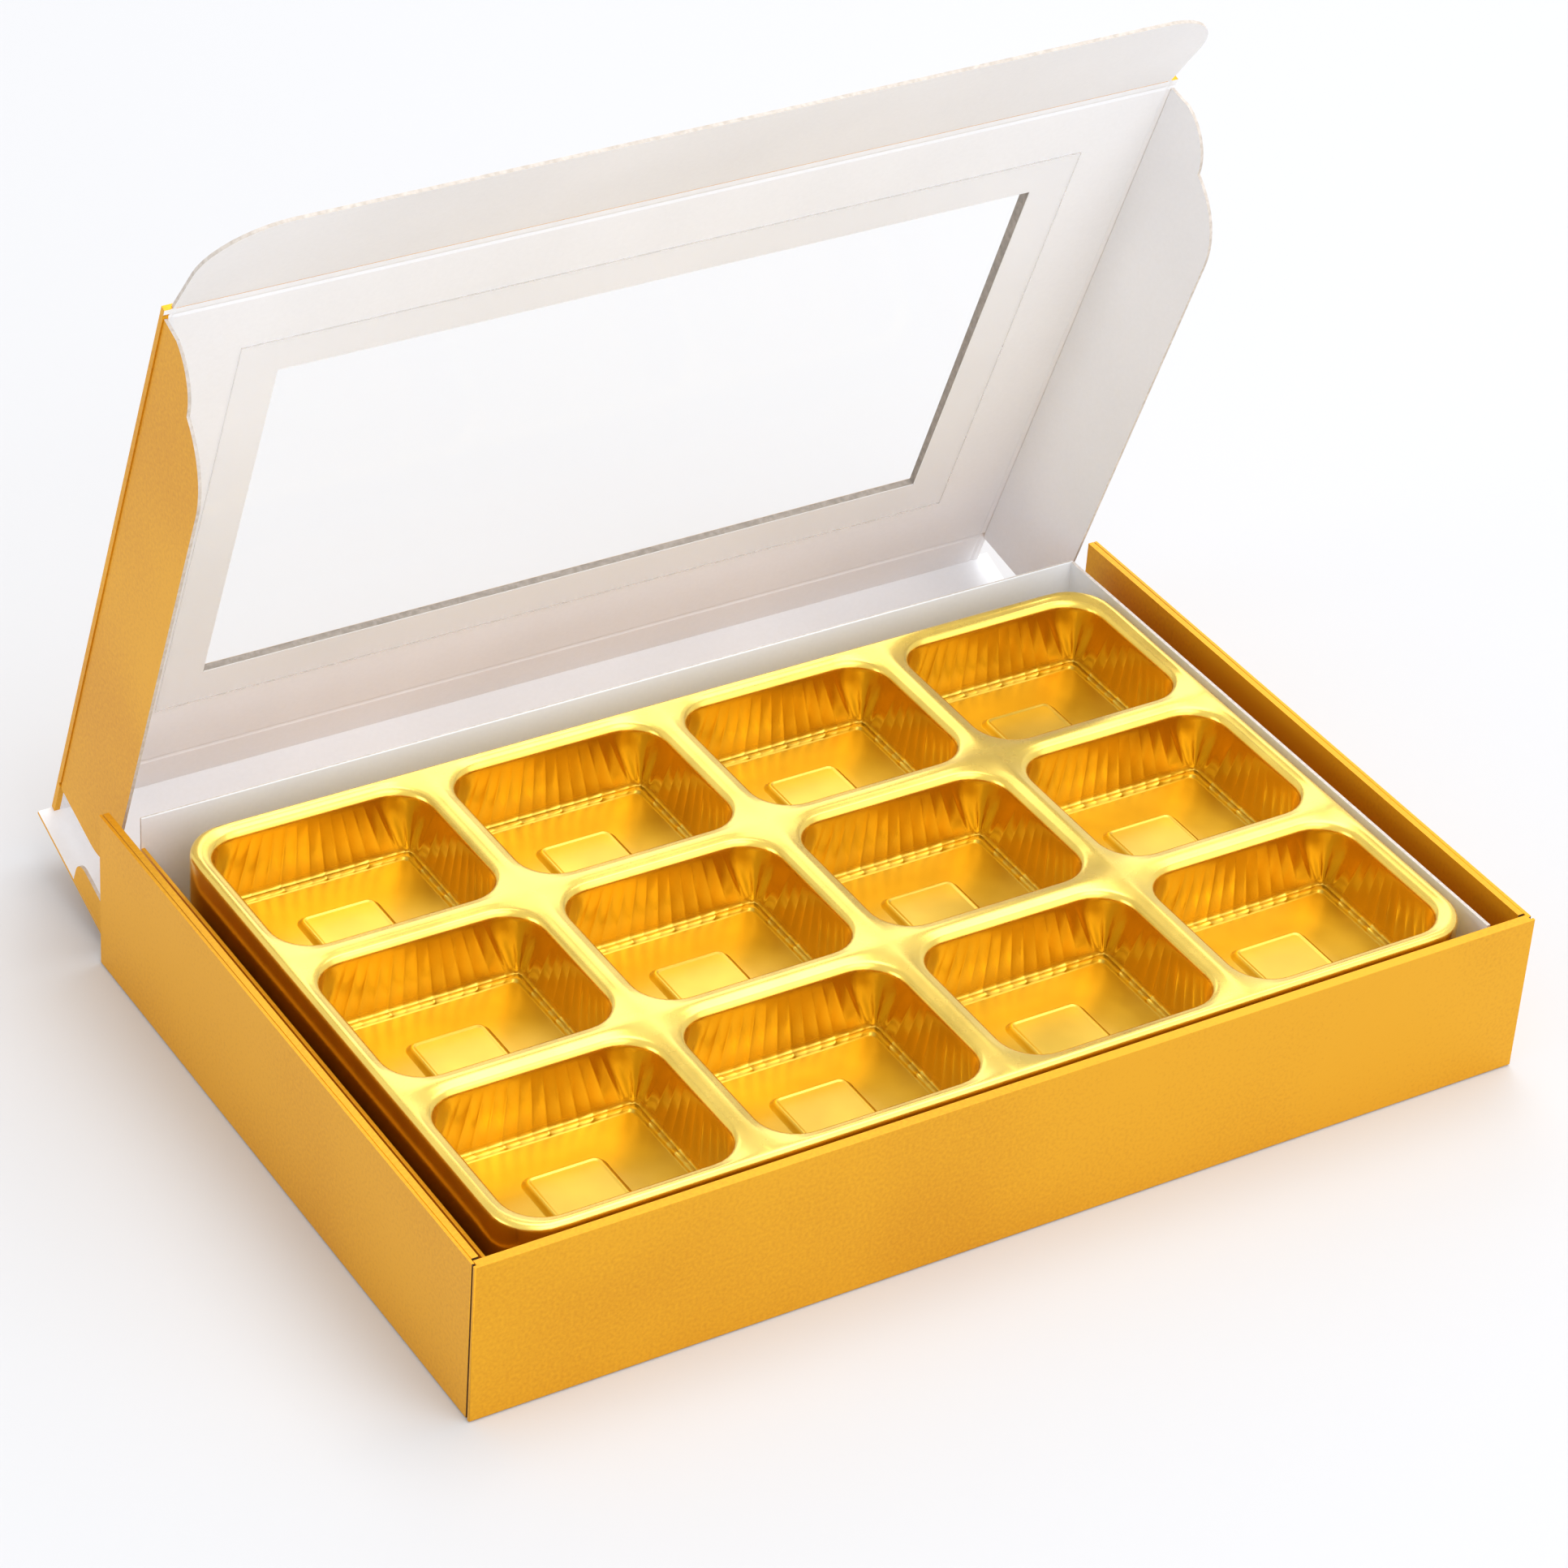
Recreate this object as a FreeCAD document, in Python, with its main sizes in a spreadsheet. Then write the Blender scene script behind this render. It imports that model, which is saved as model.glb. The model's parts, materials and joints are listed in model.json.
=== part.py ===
import FreeCAD, Part
import Sketcher
import math
import os

# Chocolate box: a paperboard base with rolled walls, a swinging cover with a window, and a formed tray.
# Millimetres. Origin at the centre of the base underside, X to the right, Y to the back, Z up.

doc = FreeCAD.newDocument("chocolate_box")
sizes = doc.addObject("Spreadsheet::Sheet", "sizes")

driving = {
    "box_width": 165.0,
    "box_depth": 108.0,
    "box_height": 25.0,
    # paperboard
    "board": 0.5,
    "lid_board": 0.9,
    "crease_gap": 0.2,
    # liner behind and beside the tray
    "liner_drop": 1.0,
    "left_wing_drop": 6.0,
    "liner_setback": 1.5,
    "liner_foot": 5.0,
    "ear_slot": 3.9,
    "glue_tab": 14.0,
    # cover: back panel, lid, flap and ears
    "back_gap": 0.3,
    "lid_clearance": 0.6,
    "flap_play": 0.45,
    "flap_height": 21.0,
    "flap_corner": 11.0,
    "flap_end_gap": 0.8,
    "ear_play": 0.45,
    "ear_width": 17.4,
    "ear_end_gap": 1.2,
    "ear_side": 3.6,
    "ear_notch_run": 8.0,
    "ear_notch_width": 10.3,
    "ear_run": 20.0,
    "ear_lobe_radius": 9.0,
    "ear_shoulder_radius": 13.7,
    "ear_corner": 6.5,
    "ear_tab_gap": 0.8,
    "tab_play": 0.55,
    "tab_length": 5.0,
    "tab_height": 10.0,
    "tab_corner": 2.5,
    "tab_lift": 3.5,
    # window
    "window_side": 18.8,
    "window_front": 17.2,
    "window_rear": 25.0,
    "film": 0.25,
    "film_overlap": 6.5,
    # tray
    "tray_wall": 0.5,
    "tray_height": 23.0,
    "tray_corner": 7.0,
    "tray_lip": 2.0,
    "tray_side_gap": 1.2,
    "tray_front_gap": 1.7,
    "tray_foot_gap": 1.1,
    "rim_border": 2.8,
    "rim_rib": 4.4,
    "cavity_depth": 11.5,
    "cavity_corner": 5.5,
    "cavity_draft_angle": 5.0,
    "stamp": 12.5,
    "stamp_corner": 1.5,
    "stamp_rise": 0.4,
    # how the open cover stands, in degrees
    "cover_lean_angle": 70.0,
    "flap_fold_angle": 17.0,
    "left_ear_fold_angle": 90.0,
    "right_ear_fold_angle": 81.5,
    "tab_fold_angle": 90.0,
}
for row, (alias, value) in enumerate(driving.items(), start=1):
    sizes.set(f"A{row}", alias.replace("_", " "))
    sizes.set(f"B{row}", str(value))
    sizes.setAlias(f"B{row}", alias)
doc.recompute()


class Size:
    # A length that knows its value and the sheet formula that gives it.
    def __init__(self, value, text):
        self.value = value
        self.text = text

    def join(self, sign, other, value):
        return Size(value, f"({self.text} {sign} {as_size(other).text})")

    def __add__(self, other):
        return self.join("+", other, self.value + as_size(other).value)

    def __sub__(self, other):
        return self.join("-", other, self.value - as_size(other).value)

    def __mul__(self, other):
        return self.join("*", other, self.value * as_size(other).value)

    def __truediv__(self, other):
        return self.join("/", other, self.value / as_size(other).value)

    def __neg__(self):
        return self * -1


def as_size(number):
    return number if isinstance(number, Size) else Size(float(number), f"({number})")


def cell(alias):
    return Size(float(getattr(sizes, alias)), f"sizes.{alias}")


def vector(x, y, z):
    return FreeCAD.Vector(as_size(x).value, as_size(y).value, as_size(z).value)


def bind(thing, **lengths):
    for name, length in lengths.items():
        thing.setExpression(name, as_size(length).text)


def put(thing, x, y, z):
    for axis, length in zip("xyz", (x, y, z)):
        thing.setExpression(f"Placement.Base.{axis}", as_size(length).text)


# Values that follow from the driving sizes
board = cell("board")
wall = board * 3
half_width = cell("box_width") / 2
half_depth = cell("box_depth") / 2
height = cell("box_height")
wall_face_x = half_width - wall
wall_face_y = half_depth - wall
wing_outer = wall_face_x - cell("ear_slot")
wing_inner = wing_outer - board
liner_top = height - cell("liner_drop")
liner_back = half_depth - cell("liner_setback")
liner_front = liner_back - board

back_axis_y = half_depth + cell("back_gap") + board / 2
back_axis_z = board / 2
lid_axis_z = height + cell("lid_clearance") + cell("lid_board") / 2
flap_axis_y = -wall_face_y + cell("flap_play") + board / 2
back_length = lid_axis_z - back_axis_z
lid_length = back_axis_y - flap_axis_y
ear_axis_x = wing_outer + cell("ear_play") + board / 2
tab_axis_x = wall_face_x - cell("tab_play") - board / 2
board_crease = board / 2 + cell("crease_gap")
lid_crease = cell("lid_board") / 2 + cell("crease_gap")


def box(name, low, high):
    # A board panel given by its lowest and highest corners.
    block = doc.addObject("Part::Box", name)
    low = [as_size(value) for value in low]
    high = [as_size(value) for value in high]
    bind(block, Length=high[0] - low[0], Width=high[1] - low[1], Height=high[2] - low[2])
    put(block, *low)
    return block


def nose(name, radius, length, start, along):
    # The rounded edge that a fold turns on.
    roll = doc.addObject("Part::Cylinder", name)
    bind(roll, Radius=radius, Height=length)
    turns = {
        "x": FreeCAD.Rotation(FreeCAD.Vector(0, 1, 0), 90),
        "y": FreeCAD.Rotation(FreeCAD.Vector(1, 0, 0), -90),
        "z": FreeCAD.Rotation(),
    }
    roll.Placement = FreeCAD.Placement(FreeCAD.Vector(), turns[along])
    put(roll, *start)
    return roll


def fuse(name, pieces):
    joined = doc.addObject("Part::MultiFuse", name)
    joined.Shapes = pieces
    joined.Refine = True
    return joined


def cut(name, base, tool):
    rest = doc.addObject("Part::Cut", name)
    rest.Base = base
    rest.Tool = tool
    return rest


def outline(body, name, corners, radii):
    # A closed sketch through bound corners; a radius turns the run that follows a corner into an arc.
    sketch = body.newObject("Sketcher::SketchObject", name)
    sketch.AttachmentSupport = [(body.Origin.OriginFeatures[3], "")]
    sketch.MapMode = "FlatFace"
    points = [vector(x, y, 0) for x, y in corners]
    count = len(points)
    for i, radius in enumerate(radii):
        start, end = points[i], points[(i + 1) % count]
        if radius is None:
            sketch.addGeometry(Part.LineSegment(start, end), False)
            continue
        chord = end - start
        reach = math.sqrt(radius.value ** 2 - (chord.Length / 2) ** 2)
        side = FreeCAD.Vector(-chord.y, chord.x, 0).normalize()
        bulge = (start + end) / 2 + side * (reach - radius.value)
        sketch.addGeometry(Part.Arc(start, bulge, end), False)
    for i in range(count):
        sketch.addConstraint(Sketcher.Constraint("Coincident", i, 2, (i + 1) % count, 1))
    for i, (x, y) in enumerate(corners):
        for kind, value in (("DistanceX", x), ("DistanceY", y)):
            place = sketch.addConstraint(Sketcher.Constraint(kind, -1, 1, i, 1, as_size(value).value))
            sketch.setExpression(f"Constraints[{place}]", as_size(value).text)
    for i, radius in enumerate(radii):
        if radius is not None:
            place = sketch.addConstraint(Sketcher.Constraint("Radius", i, radius.value))
            sketch.setExpression(f"Constraints[{place}]", radius.text)
    return sketch


def rounded(body, name, x, y, width, depth, radius, lift):
    # A rounded rectangle with its low corner at x, y, on a plane lifted from the body's own.
    far_x = x + width
    far_y = y + depth
    corners = [(x + radius, y), (far_x - radius, y), (far_x, y + radius), (far_x, far_y - radius),
               (far_x - radius, far_y), (x + radius, far_y), (x, far_y - radius), (x, y + radius)]
    sketch = outline(body, name, corners, [None, radius] * 4)
    sketch.setExpression("AttachmentOffset.Base.z", as_size(lift).text)
    return sketch


def pad(body, name, sketch, length, reversed_way=False, middle=False):
    feature = body.newObject("PartDesign::Pad", name)
    feature.Profile = sketch
    feature.setExpression("Length", as_size(length).text)
    feature.Reversed = reversed_way
    feature.Midplane = middle
    sketch.Visibility = False
    return feature


def pocket(body, name, sketch, length, reversed_way=False):
    feature = body.newObject("PartDesign::Pocket", name)
    feature.Profile = sketch
    feature.setExpression("Length", as_size(length).text)
    feature.Reversed = reversed_way
    sketch.Visibility = False
    return feature


nodes = []


def node(thing, label):
    thing.Label = label
    nodes.append(thing)
    return thing


# Base: bottom panel and three rolled walls
bottom = box("bottom_sheet", (board - half_width, board - half_depth, 0),
             (half_width - board, back_axis_y, board))
bottom_nose = nose("bottom_nose", board / 2, tab_axis_x * 2, (-tab_axis_x, back_axis_y, back_axis_z), "x")
bottom_trim = [box(f"bottom_trim_{side}", low, high) for side, low, high in (
    ("left", (-half_width, half_depth, 0), (-tab_axis_x, back_axis_y, board)),
    ("right", (tab_axis_x, half_depth, 0), (half_width, back_axis_y, board)))]
bottom_cut = cut("bottom_cut", cut("bottom_cut_left", bottom, bottom_trim[0]), bottom_trim[1])
node(fuse("bottom_fold", [bottom_cut, bottom_nose]), "base_panel")

front_face = -half_depth
node(box("front_outer", (-half_width, front_face, 0), (half_width, front_face + board, height)),
     "front_wall_outer")
front_ply = box("front_ply", (board - half_width, front_face + board * 2, board),
                (half_width - board, front_face + wall, height))
front_hem = box("front_hem", (board - half_width, front_face + board, height - board),
                (half_width - board, front_face + board * 2, height))
node(fuse("front_inner", [front_ply, front_hem]), "front_wall_inner")


def side_wall(side, sign, wing_drop):
    # Outer ply, rolled-in ply with its hem, glue tab tucked into the front wall, and the wing of the liner.
    def across(near, far):
        return (near * sign, far * sign) if sign > 0 else (far * sign, near * sign)

    outer = across(half_width - board, half_width)
    node(box(f"{side}_outer", (outer[0], front_face + board, 0), (outer[1], half_depth, height)),
         f"{side}_wall_outer")
    ply = across(half_width - wall, half_width - board * 2)
    hem = across(half_width - board * 2, half_width - board)
    ply_box = box(f"{side}_ply", (ply[0], front_face + wall, board), (ply[1], half_depth, height))
    hem_box = box(f"{side}_hem", (hem[0], front_face + wall, height - board), (hem[1], half_depth, height))
    node(fuse(f"{side}_inner", [ply_box, hem_box]), f"{side}_wall_inner")
    tab = across(half_width - board - cell("glue_tab"), half_width - board)
    node(box(f"{side}_glue", (tab[0], front_face + board, board),
             (tab[1], front_face + board * 2, height - board)), f"front_{side}_glue_tab")
    wing = across(wing_inner, wing_outer)
    wing_front = -wall_face_y + cell("flap_play") + board + cell("flap_play")
    node(box(f"{side}_wing", (wing[0], wing_front, board), (wing[1], liner_front, height - wing_drop)),
         f"inner_{side}_wing")


side_wall("left", -1, cell("left_wing_drop"))
side_wall("right", 1, cell("liner_drop"))

# Liner wall behind the tray, with the foot that is glued to the bottom
node(box("liner_wall", (-wing_outer, liner_front, board), (wing_outer, liner_back, liner_top)),
     "inner_back_wall")
node(box("liner_foot_strip", (-wing_inner, liner_front - cell("liner_foot"), board),
         (wing_inner, liner_front, board * 2)), "inner_back_foot")

# Tray: a formed sheet with a skirt down to the bottom and twelve pockets
columns = 4
rows = 3
tray_wall = cell("tray_wall")
tray_half = wing_inner - cell("tray_side_gap")
tray_width = tray_half * 2
tray_front = cell("tray_front_gap") - wall_face_y
tray_depth = liner_front - cell("liner_foot") - cell("tray_foot_gap") - tray_front
tray_height = cell("tray_height")
cavity_x = (tray_width - cell("rim_border") * 2 - cell("rim_rib") * (columns - 1)) / columns
cavity_y = (tray_depth - cell("rim_border") * 2 - cell("rim_rib") * (rows - 1)) / rows

tray = doc.addObject("PartDesign::Body", "tray")
rim = rounded(tray, "rim_outline", as_size(0), as_size(0), tray_width, tray_depth, cell("tray_corner"), 0)
block = pad(tray, "rim_block", rim, tray_height, reversed_way=True)
hollow = rounded(tray, "hollow_outline", tray_wall, tray_wall, tray_width - tray_wall * 2,
                 tray_depth - tray_wall * 2, cell("tray_corner") - tray_wall, -tray_height)
pocket(tray, "hollow", hollow, tray_height - tray_wall, reversed_way=True)
doc.recompute()


def lip(name, base, level, radius):
    # Rounds the edges that lie flat at one level of the plain block.
    near = tray_wall.value / 10
    flat = []
    for i, edge in enumerate(base.Shape.Edges, start=1):
        span = edge.BoundBox
        if abs(span.ZMin - level.value) < near and abs(span.ZMax - level.value) < near:
            flat.append(f"Edge{i}")
    feature = tray.newObject("PartDesign::Fillet", name)
    feature.Base = (base, flat)
    feature.setExpression("Radius", radius.text)
    doc.recompute()
    return feature


outer_lip = lip("outer_lip", tray.Tip, as_size(0), cell("tray_lip"))
lip("inner_lip", outer_lip, -tray_wall, cell("tray_lip") - tray_wall)

cavity_low = cell("rim_border")
cup = rounded(tray, "cup_outline", cavity_low - tray_wall, cavity_low - tray_wall, cavity_x + tray_wall * 2,
              cavity_y + tray_wall * 2, cell("cavity_corner") + tray_wall, -tray_wall / 2)
cup_pad = pad(tray, "cup", cup, cell("cavity_depth") + tray_wall / 2, reversed_way=True)
cup_pad.setExpression("TaperAngle", "-sizes.cavity_draft_angle")
mouth = rounded(tray, "cavity_outline", cavity_low, cavity_low, cavity_x, cavity_y, cell("cavity_corner"), 0)
cavity = pocket(tray, "cavity", mouth, cell("cavity_depth"))
cavity.setExpression("TaperAngle", "-sizes.cavity_draft_angle")
stamp_x = cavity_low + (cavity_x - cell("stamp")) / 2
stamp_y = cavity_low + (cavity_y - cell("stamp")) / 2
stamp = rounded(tray, "stamp_outline", stamp_x, stamp_y, cell("stamp"), cell("stamp"), cell("stamp_corner"),
                -cell("cavity_depth") - tray_wall / 2)
stamp_pad = pad(tray, "stamp", stamp, cell("stamp_rise") + tray_wall / 2)
doc.recompute()

grid = tray.newObject("PartDesign::MultiTransform", "cavity_grid")
grid.Originals = [cup_pad, cavity, stamp_pad]
steps = []
for name, axis, pitch, count in (("across", "H_Axis", cavity_x + cell("rim_rib"), columns),
                                 ("deep", "V_Axis", cavity_y + cell("rim_rib"), rows)):
    step = tray.newObject("PartDesign::LinearPattern", name)
    step.Direction = (mouth, [axis])
    step.Occurrences = count
    step.setExpression("Length", (pitch * (count - 1)).text)
    steps.append(step)
grid.Transformations = steps
tray.Tip = grid
put(tray, -tray_half, tray_front, board + tray_height)
node(tray, "tray")

# Cover: back panel, lid, film, flap, ears and end tabs, each made flat in its own fold's frame
back_sheet = box("back_sheet", (-tab_axis_x, -board / 2, board_crease), (tab_axis_x, board / 2, back_length))
back_top = nose("back_top", board / 2, tab_axis_x * 2, (-tab_axis_x, 0, back_length), "x")
back_ends = [nose(f"back_end_{side}", board / 2, back_length - board_crease, (x, 0, board_crease), "z")
             for side, x in (("left", -tab_axis_x), ("right", tab_axis_x))]
back_panel = node(fuse("back_fold", [back_sheet, back_top] + back_ends), "back_panel")

lid_half = cell("lid_board") / 2
lid_sheet = box("lid_sheet", (-ear_axis_x, -lid_length, -lid_half), (ear_axis_x, -lid_crease, lid_half))
window_half = ear_axis_x - cell("window_side")
window_low = cell("window_front") - lid_length
window_high = -cell("window_rear")
window = box("window", (-window_half, window_low, -cell("lid_board")),
             (window_half, window_high, cell("lid_board")))
lid_front = nose("lid_front", lid_half, ear_axis_x * 2, (-ear_axis_x, -lid_length, 0), "x")
lid_sides = [nose(f"lid_side_{side}", lid_half, lid_length - lid_crease, (x, -lid_length, 0), "y")
             for side, x in (("left", -ear_axis_x), ("right", ear_axis_x))]
lid_panel = node(fuse("lid_fold", [cut("lid_window", lid_sheet, window), lid_front] + lid_sides), "lid_panel")


def board_body(name, corners, radii):
    body = doc.addObject("PartDesign::Body", name)
    pad(body, f"{name}_pad", outline(body, f"{name}_outline", corners, radii), board, middle=True)
    return node(body, name)


# Clear film, glued round the window on the inside of the lid
film_half = window_half + cell("film_overlap")
film_low = window_low - cell("film_overlap")
film_high = window_high + cell("film_overlap")
film = node(doc.addObject("PartDesign::Body", "window_film"), "window_film")
film_corners = [(-film_half, film_low), (film_half, film_low),
                (film_half, film_high), (-film_half, film_high)]
film_outline = outline(film, "film_outline", film_corners, [None] * len(film_corners))
film_outline.setExpression("AttachmentOffset.Base.z", (-lid_half).text)
pad(film, "film_pad", film_outline, cell("film"), reversed_way=True)

flap_half = ear_axis_x - cell("flap_end_gap")
flap_far = cell("flap_height")
flap_corner = cell("flap_corner")
flap = board_body("front_flap", [
    (-flap_half, -flap_far + flap_corner), (flap_corner - flap_half, -flap_far),
    (flap_half - flap_corner, -flap_far), (flap_half, flap_corner - flap_far),
    (flap_half, -lid_crease), (-flap_half, -lid_crease)],
    [flap_corner, None, flap_corner, None, None, None])


def ear(name, sign):
    # Beside the flap a small lobe, a notch and a shoulder; the rear end is square and clears the end tab.
    near = -cell("tab_length") - cell("ear_tab_gap")
    far = cell("ear_end_gap") - lid_length
    side = lid_crease + cell("ear_side")
    width = cell("ear_width")
    corner = cell("ear_corner")
    lobe = cell("ear_lobe_radius")
    shoulder = cell("ear_shoulder_radius")
    right = [(lid_crease, far), (side, far), (cell("ear_notch_width"), far + cell("ear_notch_run")),
             (width, far + cell("ear_run")), (width, near - corner), (width - corner, near), (lid_crease, near)]
    if sign > 0:
        return board_body(name, right, [None, lobe, shoulder, None, corner, None, None])
    mirrored = [(-x, y) for x, y in reversed(right)]
    return board_body(name, mirrored, [None, corner, None, shoulder, lobe, None, None])


left_ear = ear("left_ear", -1)
right_ear = ear("right_ear", 1)


def end_tab(name, sign):
    # A small rounded tab on the end of the back panel.
    low = cell("tab_lift")
    top = low + cell("tab_height")
    reach = cell("tab_length")
    corner = cell("tab_corner")
    right = [(board_crease, low), (reach - corner, low), (reach, low + corner), (reach, top - corner),
             (reach - corner, top), (board_crease, top)]
    runs = [None, corner, None, corner, None, None]
    if sign > 0:
        return board_body(name, right, runs)
    mirrored = [(-x, y) for x, y in reversed(right)]
    return board_body(name, mirrored, [None, corner, None, corner, None, None])


left_tab = end_tab("back_left_tab", -1)
right_tab = end_tab("back_right_tab", 1)

# The open cover: swung back in one piece, flap a little folded, ears folded in
axis_x = FreeCAD.Vector(1, 0, 0)
axis_y = FreeCAD.Vector(0, 1, 0)
axis_z = FreeCAD.Vector(0, 0, 1)


def turn(axis, degrees):
    return FreeCAD.Placement(FreeCAD.Vector(), FreeCAD.Rotation(axis, degrees))


def shift(x, y, z):
    return FreeCAD.Placement(vector(x, y, z), FreeCAD.Rotation())


back_place = shift(0, back_axis_y, back_axis_z) * turn(axis_x, -cell("cover_lean_angle").value)
lid_place = back_place * shift(0, 0, back_length)
upright = turn(axis_x, 90)
tab_fold = cell("tab_fold_angle").value
rest = {
    back_panel: back_place,
    lid_panel: lid_place,
    film: lid_place,
    flap: lid_place * shift(0, -lid_length, 0) * turn(axis_x, cell("flap_fold_angle").value),
    left_ear: lid_place * shift(-ear_axis_x, 0, 0) * turn(axis_y, -cell("left_ear_fold_angle").value),
    right_ear: lid_place * shift(ear_axis_x, 0, 0) * turn(axis_y, cell("right_ear_fold_angle").value),
    left_tab: back_place * shift(-tab_axis_x, 0, 0) * turn(axis_z, tab_fold) * upright,
    right_tab: back_place * shift(tab_axis_x, 0, 0) * turn(axis_z, -tab_fold) * upright,
}
for thing, place in rest.items():
    thing.Placement = place
doc.recompute()

for thing in doc.Objects:
    if "Invalid" in thing.State or "Error" in thing.State:
        raise RuntimeError(f"{thing.Label} did not build: {thing.State}")

os.makedirs("parts", exist_ok=True)
for thing in nodes:
    if thing.Shape.isNull() or not thing.Shape.isValid():
        raise RuntimeError(f"{thing.Label} has no valid shape")
    thing.Shape.exportStep(f"parts/{thing.Label}.step")
    print(thing.Label, len(thing.Shape.Solids), round(thing.Shape.Volume, 1))
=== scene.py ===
import json
import math
import bmesh
import bpy
from mathutils import Matrix, Vector


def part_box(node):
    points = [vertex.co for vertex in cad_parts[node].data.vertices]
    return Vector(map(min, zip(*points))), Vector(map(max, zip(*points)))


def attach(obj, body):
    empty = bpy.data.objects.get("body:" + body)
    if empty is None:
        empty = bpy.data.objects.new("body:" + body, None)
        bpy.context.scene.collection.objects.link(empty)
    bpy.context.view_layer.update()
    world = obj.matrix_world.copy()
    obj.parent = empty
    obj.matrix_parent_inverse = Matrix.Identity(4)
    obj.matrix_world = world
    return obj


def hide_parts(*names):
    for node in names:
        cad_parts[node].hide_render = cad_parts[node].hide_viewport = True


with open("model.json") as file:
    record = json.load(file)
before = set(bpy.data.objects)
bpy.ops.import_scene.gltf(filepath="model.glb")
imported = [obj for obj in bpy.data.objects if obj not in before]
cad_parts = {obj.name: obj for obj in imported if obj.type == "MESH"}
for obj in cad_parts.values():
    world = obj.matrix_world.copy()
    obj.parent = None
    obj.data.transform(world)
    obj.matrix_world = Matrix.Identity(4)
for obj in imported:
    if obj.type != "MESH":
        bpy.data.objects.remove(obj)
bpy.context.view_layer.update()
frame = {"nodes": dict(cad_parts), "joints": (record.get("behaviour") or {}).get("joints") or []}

# Chocolate box: gold carton with a window lid, white inside, and a formed gold tray.
# Metres in the part's own frame; sizes in the dictionaries are millimetres.

photoSize = 1932  # pixels on each side
toMetres = Matrix.Scale(0.001, 4)
origin = Vector((0, 0, 0))
hair = 0.01  # millimetres; points nearer than this count as one
petIor = 1.57


def hexLinear(code):
    channels = [int(code[i:i + 2], 16) / 255 for i in (1, 3, 5)]
    return tuple(c / 12.92 if c <= 0.04045 else ((c + 0.055) / 1.055) ** 2.4 for c in channels) + (1.0,)


def perMm(size):
    return 1000.0 / size  # texture scale that gives features of this many millimetres


def addNode(tree, kind, settings=(), values=(), links=(), stops=()):
    node = tree.nodes.new(kind)
    for name, value in dict(settings).items():
        setattr(node, name, value)
    for socket, value in dict(values).items():
        node.inputs[socket].default_value = value
    for socket, source in dict(links).items():
        tree.links.new(source, node.inputs[socket])
    if stops:
        for at, _ in stops[1:-1]:
            node.color_ramp.elements.new(at)
        for stop, (at, code) in zip(node.color_ramp.elements, stops):
            stop.position = at
            stop.color = hexLinear(code)
    return node


def newMaterial(name):
    material = bpy.data.materials.new(name)
    material.use_nodes = True
    tree = material.node_tree
    shader = tree.nodes["Principled BSDF"]
    place = addNode(tree, "ShaderNodeTexCoord").outputs["Object"]
    return material, tree, shader, place


# In the looks below a texture has its size and its detail, and a bump its depth and its strength.

# Face of the board: a fine texture and soft clouds in its colour, and a coarser unevenness.
def makeBoard(name, look):
    material, tree, shader, place = newMaterial(name)
    fine, cloud, coarse = (
        addNode(tree, "ShaderNodeTexNoise", values={"Scale": perMm(size), "Detail": detail}, links={"Vector": place})
        for size, detail in (look["fine"], look["cloud"], look["coarse"]))
    mixed = addNode(tree, "ShaderNodeMath", {"operation": "MULTIPLY_ADD"}, {1: look["fineShare"]},
                    {0: fine.outputs["Fac"], 2: cloud.outputs["Fac"]})
    tone = addNode(tree, "ShaderNodeValToRGB", links={"Fac": mixed.outputs[0]}, stops=look["tones"])
    tree.links.new(tone.outputs["Color"], shader.inputs["Base Color"])
    shader.inputs["Metallic"].default_value = look["metal"]
    shader.inputs["Roughness"].default_value = look["rough"]
    depth, strength = look["fineBump"]
    under = addNode(tree, "ShaderNodeBump", values={"Strength": strength, "Distance": depth / 1000},
                    links={"Height": fine.outputs["Fac"]})
    depth, strength = look["coarseBump"]
    over = addNode(tree, "ShaderNodeBump", values={"Strength": strength, "Distance": depth / 1000},
                   links={"Height": coarse.outputs["Fac"], "Normal": under.outputs["Normal"]})
    tree.links.new(over.outputs["Normal"], shader.inputs["Normal"])
    return material


# Cut edge of the board: bare pulp between the two faces. The greyer one on the window's punched edge is painted
# shade, and the dark brown one in the corner seams is painted shade in the narrow slit there.
def makeCutEdge(name, dark, light):
    look = {"tones": [(0.35, dark), (0.65, light)], "fibre": (0.8, 3.0), "bump": (0.03, 0.3), "rough": 0.75}
    material, tree, shader, place = newMaterial(name)
    size, detail = look["fibre"]
    fibre = addNode(tree, "ShaderNodeTexNoise", values={"Scale": perMm(size), "Detail": detail},
                    links={"Vector": place})
    tone = addNode(tree, "ShaderNodeValToRGB", links={"Fac": fibre.outputs["Fac"]}, stops=look["tones"])
    tree.links.new(tone.outputs["Color"], shader.inputs["Base Color"])
    shader.inputs["Roughness"].default_value = look["rough"]
    depth, strength = look["bump"]
    bump = addNode(tree, "ShaderNodeBump", values={"Strength": strength, "Distance": depth / 1000},
                   links={"Height": fibre.outputs["Fac"]})
    tree.links.new(bump.outputs["Normal"], shader.inputs["Normal"])
    return material
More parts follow.
